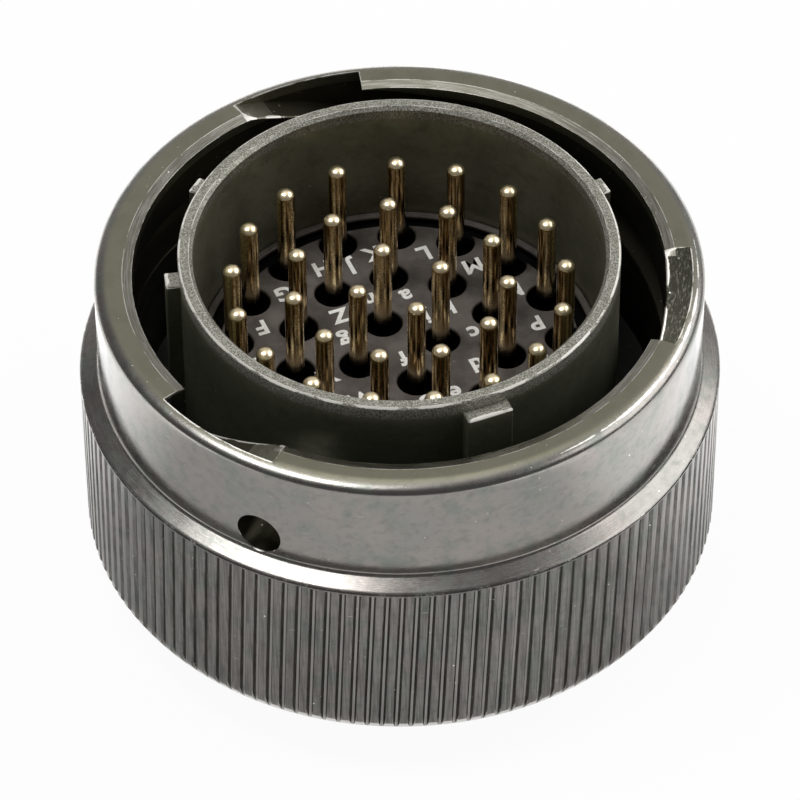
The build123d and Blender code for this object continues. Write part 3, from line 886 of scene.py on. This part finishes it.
class Surface(Nodes):
    """A material with one Principled shader, its patterns placed in the object's frame."""

    def __init__(self, name, **constants):
        self.material = bpy.data.materials.new(name)
        self.material.use_nodes = True
        super().__init__(self.material.node_tree)
        self.shader = self.new("BsdfPrincipled")
        self.new("OutputMaterial", {"Surface": self.shader.outputs["BSDF"]})
        self.shade(**constants)
        self.point = self.scaled(self.new("TexCoord").outputs["Object"], 1 / MM)
        self.x, y, self.z = self.new("SeparateXYZ", {0: self.point}).outputs
        self.radius = self.math("SQRT", self.plus(self.times(self.x, self.x), self.times(y, y)))
        self.angle = self.math("ARCTAN2", y, self.x)
        # The point unrolled round the axis: along the circle, along z, outwards
        self.unrolled = self.join(self.times(self.angle, UNROLL_RADIUS), self.z, self.radius)
        self.wear = self.new("Attribute", attribute_name="wear").outputs["Fac"]

    def shade(self, **sockets):
        for socket, value in sockets.items():
            self.connect(value, self.shader.inputs[socket.replace("_", " ")])
        return self.material


def fine_turning(m, shift):
    """Fine marks that run round the axis."""
    return m.noise(m.unrolled, (0.5, 0.045, 0.045), 3.0, 0.6, (shift, 0.0, 0.0))


def clouds(m, tone, tones, shift):
    """Slow clouds, patches, mottling and fine turning marks over a tone."""
    slow = m.noise(m.point, (4.5,) * 3, 2.0, shift=(shift, 0.0, shift))
    patch = m.noise(m.point, (1.5,) * 3, 4.0, 0.6, (0.0, shift, shift))
    mottle = m.noise(m.point, (0.55, 0.55, 0.4), 4.0, 0.7, (shift, shift, 0.0))
    colour = m.blend(m.span(slow, 0.38, 0.60), tone, tones[0])
    colour = m.blend(m.span(patch, 0.46, 0.68), colour, tones[1])
    colour = m.blend(m.span(fine_turning(m, shift), 0.55, 0.80, 0.0, 0.35), colour, tones[2])
    dull = m.scaled(colour, 0.86)
    return m.blend(m.span(mottle, 0.47, 0.66), colour, dull), patch


def worn_metal(m, colour, rough, shift):
    """Adds what use leaves on metal: bright edges, scratches, nicks and dust."""
    fine = fine_turning(m, shift)
    ragged = m.noise(m.point, (0.16, 0.16, 0.10), 4.0, 0.65)
    broad = m.noise(m.point, (1.3,) * 3, 2.0, shift=(shift, 3.0, 0.0))
    worn = m.times(m.wear, m.span(broad, 0.30, 0.62, 0.45, 1.15))
    worn = m.span(m.plus(worn, m.times(ragged, 0.55)), 0.78, 1.0)
    long_lines = m.scratches(m.unrolled, 2.6, 0.24, 5.0, 0.49)
    short_lines = m.scratches(m.unrolled, 0.9, 0.20, 72.0, 0.55, 7.0)
    lines = m.most(long_lines, short_lines)
    dots = m.most(m.specks(m.point, 1.0, 0.06, 0.32), m.specks(m.point, 0.45, 0.08, 0.13, 3.0))
    bright = m.most(worn, m.most(m.times(lines, 0.40), dots))
    colour = m.blend(bright, colour, WORN_BRIGHT)
    rough = m.plus(rough, m.times(bright, 0.12))
    relief = m.plus(m.times(fine, 0.4), m.times(ragged, 0.6))
    normal = m.bump(m.math("SUBTRACT", relief, lines), 0.006, 0.6)
    return m.shade(Base_Color=colour, Roughness=rough, Normal=normal)


def slot_masks(m):
    """Where the nut is inside the guide, on a slot's sloping ledge, and far down in a bore, which gets painted shade.
    """
    lip = m.below(m.radius, NUT_BORE + LIP_CHAMFER_WIDTH + 0.03)
    top = m.math("SUBTRACT", NUT_FRONT_Z - 0.04, m.times(lip, LIP_CHAMFER_DEPTH))
    within = m.times(m.fall(m.radius, GUIDE_RADIUS, GUIDE_RADIUS + 0.08), m.below(m.z, top))
    angle = m.times(m.angle, degrees(1.0))
    past = m.math("FLOORED_MODULO", m.math("SUBTRACT", SLOT_START_ANGLE + 360.0, angle), SECTOR)
    ledge = m.times(m.below(past, SLOT_SPAN), m.below(m.radius, GUIDE_RADIUS), m.below(m.z, NUT_FRONT_Z + 0.1))
    bore_shade = m.times(m.below(m.radius, BAND_RADIUS - 0.06), m.below(m.z, NUT_FRONT_Z - 0.7))
    return lip, m.most(within, ledge), ledge, bore_shade


def nut_front(m, colour, rough, patch):
    """Olive face, a darker milled tone inside the guide, painted shade that turns the bore near black and a slot ledge
    painted darker on its lit side, and the brushed chamfer of the lip.
    """
    face = m.fall(m.radius, GUIDE_RADIUS - 0.1, GUIDE_RADIUS + 0.4)
    olive = m.blend(m.span(patch, 0.40, 0.70), (0.335, 0.32, 0.24), (0.285, 0.272, 0.20))
    colour = m.blend(face, colour, olive)
    lip, within, ledge, bore_shade = slot_masks(m)
    milled = m.noise(m.point, (0.5, 0.5, 0.12), 4.0, 0.7)
    fresh = m.times(m.span(m.z, NUT_FRONT_Z - 1.2, NUT_FRONT_Z - 0.3), m.span(milled, 0.38, 0.6, 0.2, 1.0))
    dull = m.blend(patch, (0.14, 0.135, 0.10), (0.20, 0.192, 0.145))
    colour = m.blend(within, colour, m.blend(fresh, dull, (0.23, 0.222, 0.17)))
    # Painted shade: the bore below the front is made near black.
    colour = m.blend(bore_shade, colour, (0.075, 0.07, 0.05))
    scored_and_shaded = m.span(m.noise(m.unrolled, (1.5, 0.12, 0.09), 4.0, 0.7), 0.50, 0.72)
    scored_and_shaded = m.blend(scored_and_shaded, (0.036, 0.035, 0.027), (0.19, 0.185, 0.155))
    # Painted shade: the slot ledge gets mottled scored marks that are darkened towards +x, where the right lamp lights
    # it.
    colour = m.blend(m.times(ledge, m.span(m.x, 4.0, 11.0)), colour, scored_and_shaded)
    rough = m.most(rough, m.times(m.most(within, bore_shade), 0.38))
    chamfer = m.times(lip, m.above(m.z, NUT_FRONT_Z - LIP_CHAMFER_DEPTH - 0.02))
    chamfer = m.times(chamfer, m.below(m.z, NUT_FRONT_Z - 0.002))
    marks = m.span(m.noise(m.unrolled, (2.2, 0.05, 0.05), 4.0, 0.7), 0.42, 0.62)
    colour = m.blend(chamfer, colour, m.blend(marks, (0.25, 0.24, 0.19), (0.45, 0.44, 0.39)))
    return colour, rough


def nut_grip(m, colour, rough):
    """Darkened streaky knurl, light lines painted in its grooves as a highlight, a brushed shoulder, and a light lower
    chamfer that is a painted reflection of the bright floor.
    """
    low = m.fall(m.z, KNURL_TOP_Z - 0.05, KNURL_TOP_Z + 0.05)
    streak = m.noise(m.unrolled, (0.10, 3.0, 0.5), 3.0, 0.6)
    colour = m.blend(low, colour, m.scaled(colour, m.span(streak, 0.35, 0.65, 0.48, 0.80)))
    floor = KNURL_RADIUS - KNURL_DEPTH
    groove = m.times(low, m.fall(m.radius, floor + 0.02, floor + 0.07), m.above(m.radius, floor - 0.05))
    # Painted highlight: the groove floors are made lighter, as if light were caught there.
    colour = m.blend(m.times(groove, 0.45), colour, (0.36, 0.35, 0.33))
    shoulder = m.times(m.below(m.z, BAND_FOOT_Z), m.math("SUBTRACT", 1.0, low))
    brushed = m.noise(m.unrolled, (1.6, 0.05, 0.05), 4.0, 0.7)
    rough = m.plus(rough, m.times(shoulder, m.span(brushed, 0.40, 0.75, 0.07, 0.20)))
    crown = m.above(m.z, NUT_FRONT_Z - CROWN_DEPTH)
    crown = m.times(crown, m.span(m.radius, GUIDE_RADIUS - 0.2, GUIDE_RADIUS + 0.1))
    rough = m.plus(rough, m.times(crown, 0.09))
    rise = FOOT_CHAMFER_HEIGHT / FOOT_CHAMFER_WIDTH
    cone = NUT_BOTTOM_Z + FOOT_CHAMFER_HEIGHT + 0.03 - rise * KNURL_RADIUS
    foot = m.below(m.z, m.math("MULTIPLY_ADD", m.radius, rise, cone))
    # Painted reflection: the lower chamfer is made light grey, standing in for the bright floor that it mirrors.
    return m.blend(foot, colour, (0.56, 0.55, 0.53)), m.most(rough, m.times(foot, 0.4))


def nut_surface():
    """Grey metal outside, with the looks of the nut's front and grip."""
    m = Surface("nut_finish", Metallic=1.0)
    tones = ((0.295, 0.272, 0.255), (0.232, 0.243, 0.22), (0.34, 0.337, 0.315))
    colour, patch = clouds(m, (0.272, 0.264, 0.246), tones, 0.0)
    colour, rough = nut_front(m, colour, m.span(patch, 0.3, 0.8, 0.13, 0.25), patch)
    colour, rough = nut_grip(m, colour, rough)
    return worn_metal(m, colour, rough, 0.0)


def shell_surface():
    """Dull olive, blasted light grey on the barrel's rim and the keys."""
    m = Surface("shell_finish", Metallic=0.8)
    tones = ((0.30, 0.30, 0.22), (0.23, 0.235, 0.17), (0.34, 0.335, 0.27))
    colour, patch = clouds(m, (0.272, 0.275, 0.20), tones, 11.0)
    high = m.span(m.z, KEY_TOP_Z - 0.11, KEY_TOP_Z - 0.05)
    grit = m.noise(m.point, (0.08,) * 3, 3.0, 0.7)
    colour = m.blend(high, colour, m.blend(m.span(grit, 0.40, 0.66), (0.17, 0.165, 0.13), (0.62, 0.61, 0.54)))
    rough = m.most(m.span(patch, 0.3, 0.8, 0.40, 0.52), m.times(high, 0.48))
    return worn_metal(m, colour, rough, 11.0)


def steel_surface():
    """Bright steel of the spring, washer and retaining ring."""
    m = Surface("spring_steel", Metallic=1.0)
    tones = ((0.52, 0.51, 0.49), (0.42, 0.41, 0.39), (0.58, 0.57, 0.55))
    colour, patch = clouds(m, (0.48, 0.47, 0.45), tones, 23.0)
    return worn_metal(m, colour, m.span(patch, 0.3, 0.8, 0.22, 0.34), 23.0)


def gold_surface():
    """Gold plating: drawn streaks along the contact and a pale tip; paler just above the seal as a painted highlight,
    and near black at the neck as painted shade in the recess.
    """
    m = Surface("contact_gold", Metallic=1.0)
    streak = m.noise(m.point, (0.24, 0.24, 18.0), 1.0)
    spot = m.noise(m.point, (0.30,) * 3, 3.0, 0.6)
    light = m.span(streak, 0.42, 0.60)
    colour = m.blend(light, (0.34, 0.215, 0.085), (1.0, 0.79, 0.44))
    colour = m.blend(m.span(spot, 0.58, 0.8, 0.0, 0.5), colour, (0.36, 0.22, 0.10))
    # Painted highlight: the free length is made paler just above the seal.
    low = m.span(m.z, SEAL_FACE_Z + 0.5, SEAL_FACE_Z + 1.8, 0.7, 0.0)
    colour = m.blend(low, colour, (0.95, 0.80, 0.55))
    tip = m.span(m.z, PIN_TIP_Z - PIN_TIP_HEIGHT - 0.05, PIN_TIP_Z - 0.25)
    colour = m.blend(tip, colour, (0.99, 0.84, 0.57))
    # Painted shade: the neck in the recess is made near black.
    neck = m.fall(m.z, PIN_FOOT_Z - 0.02, PIN_FOOT_Z + 0.04)
    colour = m.blend(neck, colour, (0.006, 0.005, 0.004))
    rough = m.plus(m.times(light, 0.13), m.span(spot, 0.3, 0.8, 0.12, 0.17))
    rough = m.most(rough, m.times(m.most(tip, low), 0.30))
    return m.shade(Base_Color=colour, Roughness=rough, Normal=m.bump(streak, 0.003, 0.3))


def rubber_surface(name, tone, light, rough, dust, shadow_z=-1.0):
    """Matt dusty rubber or plastic, painted black below a height as shade in the recesses."""
    m = Surface(name)
    cloud = m.noise(m.point, (1.7,) * 3, 4.0, 0.6)
    grain = m.noise(m.point, (0.11,) * 3, 3.0, 0.6)
    colour = m.blend(m.span(cloud, 0.35, 0.7), tone, light)
    colour = m.blend(m.span(grain, 0.5, 0.75, 0.0, 0.5), colour, light)
    dots = m.specks(m.point, 0.8, 0.05, dust)
    colour = m.blend(m.times(dots, 0.8), colour, (0.45, 0.43, 0.40))
    # Painted shade: near black below shadow_z, in the seal's recesses.
    painted_shade = m.fall(m.z, shadow_z - 0.12, shadow_z)
    colour = m.blend(painted_shade, colour, (0.002, 0.002, 0.002))
    gloss = m.math("SUBTRACT", 0.5, m.times(painted_shade, 0.45))
    rough = m.span(grain, 0.3, 0.7, rough, rough + 0.15)
    return m.shade(Base_Color=colour, Roughness=rough, Specular_IOR_Level=gloss, Normal=m.bump(grain, 0.02, 0.5))


def ink_surface():
    """White ink of the contact letters."""
    m = Surface("marking_ink", Specular_IOR_Level=0.4)
    grain = m.noise(m.point, (0.12,) * 3, 3.0, 0.6)
    colour = m.blend(m.span(grain, 0.35, 0.65), (0.80, 0.79, 0.76), (0.95, 0.95, 0.93))
    return m.shade(Base_Color=colour, Roughness=m.span(grain, 0.3, 0.7, 0.5, 0.7), Normal=m.bump(grain, 0.01, 0.5))


# ---- Markings

def letter_mesh(character):
    """Mesh of a bold character round the origin, in millimetres."""
    curve = bpy.data.curves.new("letter", "FONT")
    curve.body = character
    curve.align_x = curve.align_y = "CENTER"
    curve.size = LETTER_HEIGHT / CAPITAL_HEIGHT
    curve.offset = LETTER_BOLDNESS * LETTER_HEIGHT
    curve.extrude = LETTER_THICKNESS
    curve.resolution_u = 4
    carrier = add_object(curve)
    graph = bpy.context.evaluated_depsgraph_get()
    data = bpy.data.meshes.new_from_object(carrier.evaluated_get(graph))
    bpy.data.objects.remove(carrier)
    return data


def make_letters():
    """Contact letters on the seal's face, upright towards the master key."""
    marks = []
    for letters, places, gap, lean in (
        (OUTER_LETTERS, OUTER_PLACES, OUTER_GAP, OUTER_LEAN),
        (MIDDLE_LETTERS, MIDDLE_PLACES, MIDDLE_GAP, MIDDLE_LEAN),
    ):
        for letter, (x, y) in zip(letters, places):
            side = 0 if abs(x) < 0.1 else copysign(1, x)
            a = atan2(-y, -x) + radians(lean * side)
            marks.append((letter, x + gap * cos(a), y + gap * sin(a)))
    marks += [(letter, x, y + INNER_GAP) for letter, (x, y) in zip(INNER_LETTERS, INNER_PLACES)]
    points, faces = [], []
    for letter, x, y in marks:
        found = letter_mesh(letter)
        first, z = len(points), SEAL_FACE_Z + LETTER_LIFT
        points += [((x - v.co.x) * MM, (y - v.co.y) * MM, (z + v.co.z) * MM) for v in found.vertices]
        faces += [[first + k for k in loop.vertices] for loop in found.polygons]
        bpy.data.meshes.remove(found)
    data = bpy.data.meshes.new("contact_letters")
    data.from_pydata(points, [], faces)
    return data


# ---- Lights, floor and room

FLOOR_HALF = 4.0  # metres
FLOOR_DROP = 0.02
FLOOR_COLOUR = (0.88, 0.88, 0.88)
FLOOR_GLOW = 0.95
# What the floor shows in reflections: a level, another next to the part from one reach to a second
# one (mm), and zones that shine brighter: azimuth, from and to what reach, by how much
FLOOR_SHINE = 0.11
FLOOR_FOOT = (17.9, 18.8, 0.9)
FLOOR_ZONES = ((105, 16, 28, 0.8), (-130, 14, 30, 1.1))
ROOM_LEVEL = 0.15
# Parts of the room: azimuth (0 towards the camera), elevation, inner and outer reach, level
ROOM_ZONES = ((180, 42, 30, 75, 0.48), (-122, 34, 10, 30, 0.18), (180, 72, 8, 20, 1.1))


def softbox(name, azimuth, elevation, width, height, radiance, roll=0.0):
    """Rectangular lamp that faces the part, its size in degrees as seen from there."""
    data = bpy.data.lights.new(name, "AREA")
    data.shape = "RECTANGLE"
    data.size = 2 * LAMP_DISTANCE * tan(radians(width / 2))
    data.size_y = 2 * LAMP_DISTANCE * tan(radians(height / 2))
    data.energy = radiance * pi * data.size * data.size_y
    lamp = add_object(data)
    out = look_direction(azimuth, elevation)
    place = Matrix.Translation(Vector((0, 0, CAMERA_TARGET_Z)) + out * LAMP_DISTANCE)
    face = out.to_track_quat("Z", "Y").to_matrix().to_4x4()
    lamp.matrix_world = place @ face @ Matrix.Rotation(radians(roll), 4, "Z")


def make_floor():
    """White floor that keeps its shadows and fades to pure white for the camera."""
    data = bpy.data.meshes.new("floor")
    corners = [(x * FLOOR_HALF, y * FLOOR_HALF, 0) for x, y in ((-1, -1), (1, -1), (1, 1), (-1, 1))]
    data.from_pydata(corners, [], [(0, 1, 2, 3)])
    material = bpy.data.materials.new("floor_white")
    material.use_nodes = True
    n = Nodes(material.node_tree)
    path = n.new("LightPath").outputs
    place = n.scaled(n.new("NewGeometry").outputs["Position"], 1 / MM)
    reach = n.new("VectorMath", {0: place}, operation="LENGTH").outputs["Value"]
    shine = n.span(reach, *FLOOR_FOOT, FLOOR_SHINE)
    for azimuth, low, high, strength in FLOOR_ZONES:
        along = n.along(place, look_direction(azimuth, 0))
        shine = n.plus(shine, n.span(along, low, high, 0.0, strength))
    paper = n.new("BsdfDiffuse", {"Color": (*FLOOR_COLOUR, 1)}).outputs[0]
    mirrored = n.new("Emission", {"Strength": n.times(shine, path["Is Glossy Ray"])}).outputs[0]
    lit = n.new("AddShader", {0: paper, 1: mirrored}).outputs[0]
    glow = n.times(path["Is Camera Ray"], FLOOR_GLOW)
    seen = n.new("MixShader", {0: glow, 1: lit, 2: n.new("Emission").outputs[0]}).outputs[0]
    n.new("OutputMaterial", {"Surface": seen})
    floor = add_object(data, material)
    floor.location.z = -FLOOR_DROP * MM


def make_world():
    """Grey room with lighter and darker parts, white to the camera."""
    world = bpy.data.worlds.new("studio")
    bpy.context.scene.world = world
    world.use_nodes = True
    n = Nodes(world.node_tree)
    direction = n.new("TexCoord").outputs["Generated"]
    level = ROOM_LEVEL
    for azimuth, elevation, inner, outer, zone in ROOM_ZONES:
        along = n.along(direction, look_direction(azimuth, elevation))
        share = n.span(along, cos(radians(outer)), cos(radians(inner)))
        level = n.plus(level, n.times(share, n.math("SUBTRACT", zone, level)))
    level = n.most(level, n.new("LightPath").outputs["Is Camera Ray"])
    room = n.new("Background", {"Color": n.join(level, level, level)}).outputs[0]
    n.new("OutputWorld", {"Surface": room})


# ---- The object

bpy.context.scene.view_settings.view_transform = "Standard"
make_camera()
make_floor()
make_world()
softbox("left_overhead", -86, 72, 26, 16, 10.0, roll=54)
softbox("right_side", 105, 42, 50, 34, 2.6)

shell_metal = shell_surface()
gold = gold_surface()
seal_rubber = rubber_surface(
    "face_seal_rubber", (0.055, 0.046, 0.041), (0.12, 0.105, 0.095), 0.45, 0.35, SEAL_FACE_Z - 0.12,
)
gasket_rubber = rubber_surface("gasket_rubber", (0.012, 0.012, 0.011), (0.025, 0.024, 0.022), 0.5, 0.1)
grommet_rubber = rubber_surface("grommet_rubber", (0.035, 0.022, 0.018), (0.06, 0.040, 0.032), 0.5, 0.05)
insulator = rubber_surface("hard_insulator", (0.02, 0.02, 0.019), (0.035, 0.034, 0.032), 0.35, 0.02)
steel = steel_surface()

nut = add_object(make_nut(), nut_surface())
for sector in range(3):
    carve(nut, hole_cutter(SLOT_START_ANGLE - SECTOR * sector - RAMP_SPAN))
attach(nut, "nut")
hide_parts("coupling_nut")

shell = add_object(make_shell(), shell_metal)
thread = add_object(make_thread(), shell_metal)
for piece in (shell, thread):
    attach(piece, "plug")
    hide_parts("plug_shell")

for ring, places in (
    ("outer_pin_{:02d}", OUTER_PLACES), ("middle_pin_{:02d}", MIDDLE_PLACES), ("inner_pin_{}", INNER_PLACES),
):
    for number, place in enumerate(places, start=1):
        node = ring.format(number)
        pin = add_object(make_pin(node + "_turned", place), gold)
        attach(pin, "plug")
        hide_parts(node)

seal = make_seal()
dress(seal, seal_rubber)
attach(seal, "plug")
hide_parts("interfacial_seal")

letters = add_object(make_letters(), ink_surface())
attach(letters, "plug")

spring = add_object(make_wave_spring(), steel)
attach(spring, "plug")
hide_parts("wave_spring")
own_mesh(spring)

for node, material in (
    ("shell_gasket", gasket_rubber), ("front_insert", insulator), ("rear_insert", insulator),
    ("rear_grommet", grommet_rubber), ("thrust_washer", steel), ("retaining_ring", steel),
):
    dress(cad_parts[node], material)
